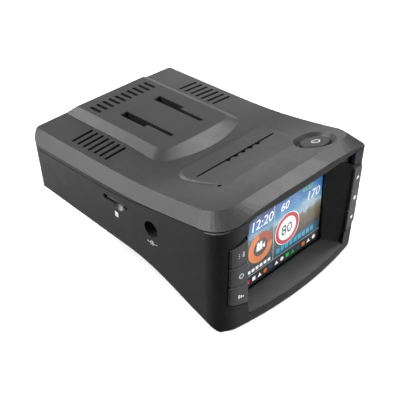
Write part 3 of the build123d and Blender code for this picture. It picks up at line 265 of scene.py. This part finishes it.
def grained_plastic(name, dark, light, roughness=0.42):
    """Moulded plastic with a fine spark texture, faint mottling and uneven sheen."""
    made = Material(name)
    made.set(specular=0.5)
    mottle = made.remap(made.noise(12 * MM, detail=4.0), 0, 1)
    speck = made.remap(made.noise(2.0 * SPARK_GRAIN, detail=1.0), 0, 1)
    tone = made.mix(mottle, dark, light)
    made.colour(made.mix(made.remap(speck, 0.0, SPECK_SHARE, 0.0, 1.0), tone, SPECK))
    made.rough(made.remap(made.noise(4 * MM, detail=3.0), roughness - 0.03, roughness + 0.03))
    made.bump(made.noise(SPARK_GRAIN, detail=2.0, roughness=0.6), SPARK_DEPTH)
    return made.material


def smooth_plastic(name, dark, light, roughness=0.35):
    """Moulded plastic with a fine polish, faint flow marks and handling dust."""
    made = Material(name)
    made.set(specular=0.5)
    made.colour(made.mix(made.remap(made.noise(6 * MM, detail=5.0), 0, 1), dark, light))
    made.rough(made.remap(made.noise(1.5 * MM, detail=4.0), roughness - 0.05, roughness + 0.08))
    made.bump(made.noise(0.7 * MM, detail=2.0), 0.006 * MM)
    return made.material


def metal(name, dark, light, roughness=0.35, grain=0.4 * MM):
    """Plated or cast metal with a mottled surface."""
    made = Material(name)
    made.set(metallic=1.0)
    made.colour(made.mix(made.remap(made.noise(3 * MM, detail=4.0), 0, 1), dark, light))
    made.rough(made.remap(made.noise(grain, detail=3.0), roughness - 0.08, roughness + 0.12))
    made.bump(made.noise(grain, detail=2.0), 0.01 * MM)
    return made.material


def circuit_board(name):
    """Green solder mask with darker copper fields and faint tracks under it."""
    made = Material(name)
    made.set(roughness=0.3, specular=0.5, coat=0.4, coat_roughness=0.15)
    tracks = made.node("ShaderNodeTexVoronoi", Vector=made.coordinates())
    tracks.feature = "DISTANCE_TO_EDGE"
    tracks.inputs["Scale"].default_value = TRACKS_PER_METRE
    lines = made.remap(tracks.outputs["Distance"], 0, 1, 0.02, 0.06)
    field = made.mix(made.remap(made.noise(4 * MM), 0, 1), (0.01, 0.07, 0.03), (0.015, 0.11, 0.045))
    made.colour(made.mix(lines, (0.03, 0.17, 0.07), field))
    made.bump(lines, 0.02 * MM)
    return made.material


def clear_plastic(name, tint):
    """A polished clear window with a trace of dust. Its coating keeps reflections low."""
    made = Material(name)
    made.set(base=tint, transmission=1.0, ior=WINDOW_INDEX)
    made.rough(made.remap(made.noise(3 * MM, detail=4.0), 0.015, 0.045))
    return made.material


def lens_glass(name, tint):
    """Coated optical glass with a faint colour that changes across it."""
    made = Material(name)
    made.set(roughness=0.05, specular=0.8, coat=1.0, coat_roughness=0.02, ior=1.6)
    made.colour(made.mix(made.remap(made.noise(6 * MM), 0, 1), tint, (0.02, 0.015, 0.05)))
    return made.material


SLOTS = {   # slot: the function that makes its material, and that function's values
    "shell_plastic": (grained_plastic, (0.015, 0.015, 0.0155), (0.019, 0.019, 0.0195)),
    "key_plastic": (grained_plastic, (0.045, 0.045, 0.047), (0.055, 0.055, 0.057), 0.5),
    "bezel_plastic": (smooth_plastic, (0.020, 0.020, 0.021), (0.027, 0.027, 0.028), 0.42),
    "button_plastic": (smooth_plastic, (0.008, 0.008, 0.008), (0.012, 0.012, 0.012), 0.5),
    "switch_plastic": (smooth_plastic, (0.008, 0.008, 0.008), (0.015, 0.015, 0.015), 0.45),
    "card_plastic": (smooth_plastic, (0.03, 0.03, 0.03), (0.05, 0.05, 0.05), 0.4),
    "tinned_steel": (metal, (0.45, 0.45, 0.44), (0.6, 0.6, 0.58)),
    "screw_steel": (metal, (0.06, 0.06, 0.06), (0.12, 0.12, 0.12), 0.45),
    "horn_metal": (metal, (0.35, 0.36, 0.37), (0.5, 0.5, 0.51), 0.55, 0.8 * MM),
    "circuit_board": (circuit_board,),
    "clear_window": (clear_plastic, (0.95, 0.96, 0.97)),
    "dark_window": (lens_glass, (0.012, 0.006, 0.008)),
    "lens_glass": (lens_glass, (0.03, 0.02, 0.09)),
    "lcd_glass": (smooth_plastic, (0.004, 0.004, 0.005), (0.007, 0.007, 0.008), 0.2),
    "antenna_ceramic": (smooth_plastic, (0.40, 0.34, 0.27), (0.5, 0.44, 0.36), 0.5),
    "capacitor_can": (smooth_plastic, (0.01, 0.02, 0.06), (0.02, 0.03, 0.09), 0.3),
    "flex_film": (smooth_plastic, (0.38, 0.16, 0.02), (0.5, 0.24, 0.04), 0.3),
}


def dress_nodes():
    """Give every CAD node the material of its slot."""
    by_slot = {slot: kind(slot, *values) for slot, (kind, *values) in SLOTS.items()}
    for part in frame["record"]["subparts"]:
        mesh = nodes[part["node"]].data
        mesh.materials.clear()
        mesh.materials.append(by_slot[part["material_slot"]])


# ---------------------------------------------------------------- flat shapes and what is made of them

# A flat shape is (points, faces): 2-D points in millimetres and faces that list them, all turning
# the same way. Every printed mark and every part of the display picture starts as one.
FONT_HEIGHT = 0.7           # height of a digit at type size 1


def polygon(*points):
    """One face through the points."""
    return list(points), [tuple(range(len(points)))]


def bar(x_low, x_high, y_low, y_high):
    """A rectangle whose sides run along x and y."""
    return polygon((x_low, y_low), (x_high, y_low), (x_high, y_high), (x_low, y_high))


def disc(x, y, radius, steps=40):
    """A filled circle."""
    turns = [2 * pi * step / steps for step in range(steps)]
    return polygon(*[(x + radius * cos(turn), y + radius * sin(turn)) for turn in turns])


def ring(x, y, inner, outer, start=0.0, stop=360.0, steps=48):
    """A ring, or part of one, between two angles in degrees."""
    closed = stop - start >= 360.0
    count = steps if closed else steps + 1
    points, faces = [], []
    for step in range(count):
        turn = radians(start + (stop - start) * step / steps)
        points.append((x + inner * cos(turn), y + inner * sin(turn)))
        points.append((x + outer * cos(turn), y + outer * sin(turn)))
    for step in range(steps):
        here, there = 2 * step, 2 * ((step + 1) % count)
        faces.append((here, here + 1, there + 1, there))
    return points, faces


def digits(text, x, y, height, slant=0.0, bold=0.0):
    """Numbers in the built-in typeface, with their lower left corner at x, y. bold widens strokes."""
    curve = bpy.data.curves.new("digits", "FONT")
    curve.body = text
    curve.size = height / FONT_HEIGHT
    curve.shear = slant
    curve.offset = bold
    curve.resolution_u = 3
    holder = bpy.data.objects.new("digits", curve)
    bpy.context.scene.collection.objects.link(holder)
    evaluated = holder.evaluated_get(bpy.context.evaluated_depsgraph_get())
    mesh = bpy.data.meshes.new_from_object(evaluated)
    points = [(x + v.co.x, y + v.co.y) for v in mesh.vertices]
    faces = [tuple(face.vertices) if face.normal.z > 0 else tuple(reversed(face.vertices))
             for face in mesh.polygons]
    bpy.data.objects.remove(holder)
    bpy.data.curves.remove(curve)
    bpy.data.meshes.remove(mesh)
    return points, faces


def merged(*shapes):
    """Several flat shapes as one."""
    points, faces = [], []
    for more_points, more_faces in shapes:
        first = len(points)
        points += more_points
        faces += [tuple(first + index for index in face) for face in more_faces]
    return points, faces


class Slab:
    """A mesh of thin closed plates, each with its own material."""

    def __init__(self, name):
        self.name = name
        self.points, self.faces, self.slots, self.materials = [], [], [], []

    def plate(self, shape, material, front, back):
        """Add a flat shape as a closed plate. front and back turn a 2-D point into a place."""
        points, faces = shape
        if material not in self.materials:
            self.materials.append(material)
        slot = self.materials.index(material)
        first, count = len(self.points), len(points)
        self.points += [front(*point) for point in points] + [back(*point) for point in points]
        edges = {(a, b) for face in faces for a, b in zip(face, face[1:] + face[:1])}
        made = [tuple(first + index for index in face) for face in faces]
        made += [tuple(first + count + index for index in reversed(face)) for face in faces]
        made += [(first + b, first + a, first + count + a, first + count + b)
                 for a, b in sorted(edges) if (b, a) not in edges]
        self.faces += made
        self.slots += [slot] * len(made)

    def finish(self, body):
        """Make the mesh an object that rides on a body."""
        mesh = bpy.data.meshes.new(self.name)
        mesh.from_pydata(self.points, [], self.faces)
        for material in self.materials:
            mesh.materials.append(material)
        mesh.polygons.foreach_set("material_index", self.slots)
        mesh.update()
        piece = bpy.data.objects.new(self.name, mesh)
        bpy.context.scene.collection.objects.link(piece)
        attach(piece, body)


# ---------------------------------------------------------------- display picture

PICTURE_STEP = 0.011 * MM   # from one layer of the picture to the next
LAYER_GAP, LAYER_DEPTH = 0.6, 0.4   # shares of the step: in front of the layer behind, and its own
PICTURE_HALF, PICTURE_BOTTOM, PICTURE_TOP = 22.5, 8.1, 41.7     # millimetres, as for all its shapes
SCENE_BOTTOM = 13.6         # the road scene ends here, over the row of symbols
DIVIDER_SHARE = 0.36        # share of the width that the left panel takes
DIM_SHARE = 0.82            # brightness of a lit part where its backlight is weakest
SHEEN = {"base": (0.01, 0.01, 0.01), "roughness": 0.3}
# Bands of the two scenes: (height as a share, linear colour), from the road up to the sky.
RIGHT_BANDS = [
    (0.0, (0.012, 0.013, 0.008)), (0.22, (0.035, 0.035, 0.018)), (0.38, (0.12, 0.085, 0.04)),
    (0.46, (0.16, 0.17, 0.13)), (0.54, (0.38, 0.50, 0.58)), (0.66, (0.06, 0.27, 0.50)),
    (0.82, (0.02, 0.13, 0.40)), (1.0, (0.01, 0.05, 0.20)),
]
LEFT_BANDS = [
    (0.0, (0.012, 0.013, 0.014)), (0.30, (0.03, 0.035, 0.03)), (0.50, (0.07, 0.08, 0.07)),
    (0.60, (0.20, 0.34, 0.46)), (0.70, (0.015, 0.16, 0.42)), (0.84, (0.01, 0.06, 0.20)),
    (1.0, (0.01, 0.015, 0.04)),
]


def glow(name, colour, strength=1.0):
    """Lit part of the display, with the faint unevenness of a backlight."""
    made = Material(name)
    made.set(**SHEEN, emission_strength=strength)
    dimmer = tuple(DIM_SHARE * channel for channel in colour)
    shade = made.mix(made.remap(made.noise(8 * MM, detail=1.0), 0, 1), dimmer, colour)
    made.tree.links.new(shade, made.shader.inputs["Emission Color"])
    return made.material


def landscape(name, bands, grain):
    """Lit picture of a road scene: bands of colour over its height, broken up by noise."""
    made = Material(name)
    made.set(**SHEEN, emission_strength=1.0)
    split = made.node("ShaderNodeSeparateXYZ", Vector=made.coordinates())
    wave = made.remap(made.noise(grain, detail=6.0, roughness=0.65), -0.09, 0.09)
    height = made.node("ShaderNodeMapRange", Value=split.outputs["Z"])
    height.inputs["From Min"].default_value = SCENE_BOTTOM * MM
    height.inputs["From Max"].default_value = PICTURE_TOP * MM
    total = made.node("ShaderNodeMath")
    total.operation = "ADD"
    made.tree.links.new(height.outputs["Result"], total.inputs[0])
    made.tree.links.new(wave, total.inputs[1])
    ramp = made.tree.nodes.new("ShaderNodeValToRGB")
    made.tree.links.new(total.outputs["Value"], ramp.inputs["Fac"])
    while len(ramp.color_ramp.elements) < len(bands):
        ramp.color_ramp.elements.new(1.0)
    for element, (place, colour) in zip(ramp.color_ramp.elements, bands):
        element.position = place
        element.color = (*colour, 1)
    made.tree.links.new(ramp.outputs["Color"], made.shader.inputs["Emission Color"])
    return made.material


def make_picture():
    """The recorder's picture on the display: generic symbols and numbers over a road scene."""
    low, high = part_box("lcd_panel")
    front_y = low.y
    centre_x = (low.x + high.x) / 2 / MM
    left, right = centre_x - PICTURE_HALF, centre_x + PICTURE_HALF
    bottom, top = PICTURE_BOTTOM, PICTURE_TOP
    divider = left + DIVIDER_SHARE * (right - left)
    picture = Slab("display_picture")

    def layer(shape, material, level):
        """Add a flat shape to the picture. Higher levels lie in front."""
        y = front_y - (level + LAYER_GAP) * PICTURE_STEP
        picture.plate(
            shape, material,
            front=lambda x, z: (x * MM, y - LAYER_DEPTH * PICTURE_STEP, z * MM),
            back=lambda x, z: (x * MM, y, z * MM),
        )

    night = glow("picture_black", (0.003, 0.003, 0.004))
    white = glow("picture_white", (1.0, 1.0, 1.0), 1.15)
    soft_white = glow("picture_pale", (0.40, 0.52, 0.62))
    red = glow("picture_red", (0.60, 0.008, 0.03))
    ink = glow("picture_ink", (0.006, 0.012, 0.008))
    orange = glow("picture_orange", (0.80, 0.20, 0.015))
    ember = glow("picture_ember", (0.42, 0.05, 0.01))
    maroon = glow("picture_maroon", (0.06, 0.01, 0.008))
    green = glow("picture_green", (0.02, 0.55, 0.12), 1.1)
    blue = glow("picture_blue", (0.01, 0.07, 0.16))
    cyan = glow("picture_cyan", (0.04, 0.40, 0.55))
    left_scene = landscape("picture_left", LEFT_BANDS, 6 * MM)
    right_scene = landscape("picture_right", RIGHT_BANDS, 5 * MM)

    layer(bar(left, right, bottom, top), night, 0)
    layer(bar(left, divider - 0.2, SCENE_BOTTOM, top), left_scene, 1)
    layer(bar(divider + 0.2, right, SCENE_BOTTOM, top), right_scene, 1)
    layer(bar(divider - 0.2, divider + 0.2, SCENE_BOTTOM, top), soft_white, 2)
    layer(bar(left, right, SCENE_BOTTOM - 0.3, SCENE_BOTTOM), soft_white, 2)

    # left panel: clock, two lines under it, gauge ring with a camera in it, and a caption bar
    layer(digits("12:20", left + 2.6, 33.2, 4.1, slant=0.15, bold=0.024), white, 3)
    for line_z, length in ((31.4, 9.0), (30.4, 7.0)):
        layer(bar(left + 3.0, left + 3.0 + length, line_z, line_z + 0.3), soft_white, 3)
    gauge_x, gauge_z, gauge_inner, gauge_outer = left + 8.7, 24.0, 3.9, 6.8
    layer(ring(gauge_x, gauge_z, gauge_inner, gauge_outer, 100, 360), orange, 3)
    layer(ring(gauge_x, gauge_z, gauge_inner, gauge_outer, 0, 100), ember, 3)
    layer(disc(gauge_x, gauge_z, gauge_inner), maroon, 3)
    layer(bar(gauge_x - 2.2, gauge_x + 1.0, gauge_z - 1.2, gauge_z + 1.2), white, 4)
    camera_horn = polygon(
        (gauge_x + 1.3, gauge_z - 0.5), (gauge_x + 2.5, gauge_z - 1.2),
        (gauge_x + 2.5, gauge_z + 1.2), (gauge_x + 1.3, gauge_z + 0.5),
    )
    layer(camera_horn, white, 4)
    for reel_x in (gauge_x - 1.3, gauge_x + 0.3):
        layer(disc(reel_x, gauge_z + 1.9, 0.7, steps=20), white, 4)
    for step in range(6):
        start = left + 1.6 + 2.3 * step
        layer(bar(start, start + 1.6, 14.4, 15.9), white, 3)

    # right panel: speed sign, readings and a status strip
    sign_x, sign_z = divider + 8.1, 24.4
    layer(disc(sign_x, sign_z, 7.2), white, 3)
    layer(ring(sign_x, sign_z, 5.2, 6.9), red, 4)
    layer(digits("80", sign_x - 3.6, sign_z - 2.3, 4.6, bold=0.045), ink, 4)
    layer(digits("0.0", right - 12.4, 36.4, 3.4, slant=0.2, bold=0.03), green, 3)
    layer(digits("170", right - 9.9, 31.2, 3.9, slant=0.2, bold=0.03), white, 3)
    layer(digits("60", divider + 3.6, 34.0, 3.4, slant=0.2, bold=0.03), white, 3)
    layer(bar(divider + 1.2, right - 1.0, 14.2, 18.2), blue, 3)
    for step in range(9):
        start = divider + 2.0 + 2.6 * step
        layer(bar(start, start + 1.9, 15.0, 17.2), cyan, 4)

    # bottom row of small symbols
    row = [red, white, white, orange, blue, white, white, green, green, blue, orange, white, white]
    for step, paint in enumerate(row):
        x = left + 2.0 + 3.3 * step
        shapes = (
            disc(x, 10.8, 1.0, steps=20),
            bar(x - 0.9, x + 0.9, 9.9, 11.7),
            polygon((x - 1.1, 9.9), (x + 1.1, 9.9), (x, 11.8)),
        )
        layer(shapes[step % 3], paint, 3)
    picture.finish("case")


# ---------------------------------------------------------------- printed marks

PRINT_HEIGHT, PRINT_ROOT = 0.02 * MM, 0.05 * MM     # a mark's front over the surface, back under it
DROP_START, DROP_LENGTH = 8 * MM, 20 * MM   # a mark falls from so far before its plane, and so far
WORN_SHARE = 0.7            # brightness of ink where it is thin
POWER_MARK_RISE = 2 * MM    # from the middle of the power button to the plane of its mark
KEY_MARK_SHIFT = 1.0        # millimetres from the middle of a key towards the display
CARD_MARK_DROP, INLET_MARK_DROP = 5.4, 2.2      # millimetres below the card and the jack


def print_on(name, shape, material, target, body, origin, across, up):
    """Print a flat shape on a node: it is laid in a plane and dropped onto the node's surface.

    origin is in millimetres. across and up are the shape's x and y directions.
    """
    across, up = Vector(across).normalized(), Vector(up).normalized()
    out = across.cross(up).normalized()
    origin = Vector(origin) * MM
    mesh = nodes[target].data
    tree = BVHTree.FromPolygons([v.co for v in mesh.vertices], [tuple(p.vertices) for p in mesh.polygons])

    def drop(x, y, lift):
        """The place on the surface under a point of the shape, lifted off it a little."""
        start = origin + across * (x * MM) + up * (y * MM) + out * DROP_START
        hit = tree.ray_cast(start, -out, DROP_LENGTH)[0]
        place = hit if hit is not None else start - out * DROP_START
        return place + out * lift

    mark = Slab(name)
    mark.plate(
        shape, material,
        front=lambda x, y: tuple(drop(x, y, PRINT_HEIGHT)),
        back=lambda x, y: tuple(drop(x, y, -PRINT_ROOT)),
    )
    mark.finish(body)


def print_ink(name, colour):
    """Pad-printed ink: slightly uneven and thin in places."""
    made = Material(name)
    worn = tuple(WORN_SHARE * channel for channel in colour)
    made.colour(made.mix(made.remap(made.noise(0.6 * MM, detail=3.0), 0, 1), worn, colour))
    made.rough(made.remap(made.noise(0.4 * MM), 0.45, 0.65))
    return made.material


def mark_keys(ink):
    """A generic symbol on each front key."""
    symbols = {
        "left_upper_key": merged(*[bar(-1.3, 1.3, y - 0.17, y + 0.17) for y in (-0.8, 0.0, 0.8)]),
        "left_middle_key": ring(0, 0, 0.75, 1.05, steps=32),
        "left_lower_key": merged(
            bar(-1.2, -0.7, -0.9, 0.9), bar(-0.25, 0.25, -0.9, 0.3), bar(0.7, 1.2, -0.9, -0.3),
        ),
        "right_upper_key": polygon((-1.1, -0.7), (1.1, -0.7), (0, 0.9)),
        "right_middle_key": disc(0, 0, 0.9, steps=32),
        "right_lower_key": polygon((0, -0.9), (1.1, 0.7), (-1.1, 0.7)),
    }
    for node, shape in symbols.items():
        low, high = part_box(node)
        side = -1 if node.startswith("left") else 1
        middle_x = (low.x + high.x) / 2 / MM
        middle_z = (low.z + high.z) / 2 / MM
        origin = (middle_x - side * KEY_MARK_SHIFT, low.y / MM, middle_z)
        print_on(node + "_mark", shape, ink, node, node, origin, (1, 0, 0), (0, 0, 1))


def mark_power_button(ink):
    """The standby symbol on the power button."""
    low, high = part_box("power_button")
    axis = Vector(POWER_AXIS).normalized()
    up = axis.cross(Vector((1, 0, 0))).normalized()
    origin = ((low + high) / 2 + axis * POWER_MARK_RISE) / MM
    symbol = merged(ring(0, 0, 1.35, 1.75, -240, 60), bar(-0.2, 0.2, 0.3, 1.9))
    print_on(
        "power_mark", symbol, ink, "power_button", "power_button", origin, up.cross(axis), up,
    )


def mark_side(name, shape, ink, node, drop):
    """A symbol on the side wall, under a node that opens there."""
    low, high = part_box(node)
    origin = (low.x / MM, (low.y + high.y) / 2 / MM, low.z / MM - drop)
    print_on(name, shape, ink, "lower_shell", "case", origin, (0, -1, 0), (0, 0, 1))


def make_marks():
    """Generic symbols on the keys, on the power button and under the two side openings."""
    ink = print_ink("pale_ink", (0.75, 0.76, 0.78))
    mark_keys(ink)
    mark_power_button(ink)
    card = merged(
        bar(-0.9, 0.9, -1.2, 0.6),
        polygon((-0.9, 0.6), (0.9, 0.6), (0.9, 0.8), (0.5, 1.2), (-0.9, 1.2)),
    )
    mark_side("card_mark", card, ink, "memory_card", CARD_MARK_DROP)
    polarity = merged(
        ring(0, 0, 0.75, 1.0, 25, 335, steps=32), disc(0, 0, 0.32, steps=16),
        bar(0.25, 2.2, -0.1, 0.1), bar(-2.2, -1.0, -0.1, 0.1),
        bar(2.3, 2.9, -0.1, 0.1), bar(-2.9, -2.3, -0.1, 0.1),
    )
    mark_side("inlet_mark", polarity, ink, "dc_jack", INLET_MARK_DROP)


# ---------------------------------------------------------------- build

make_camera()
make_stage()
dress_nodes()
make_picture()
make_marks()
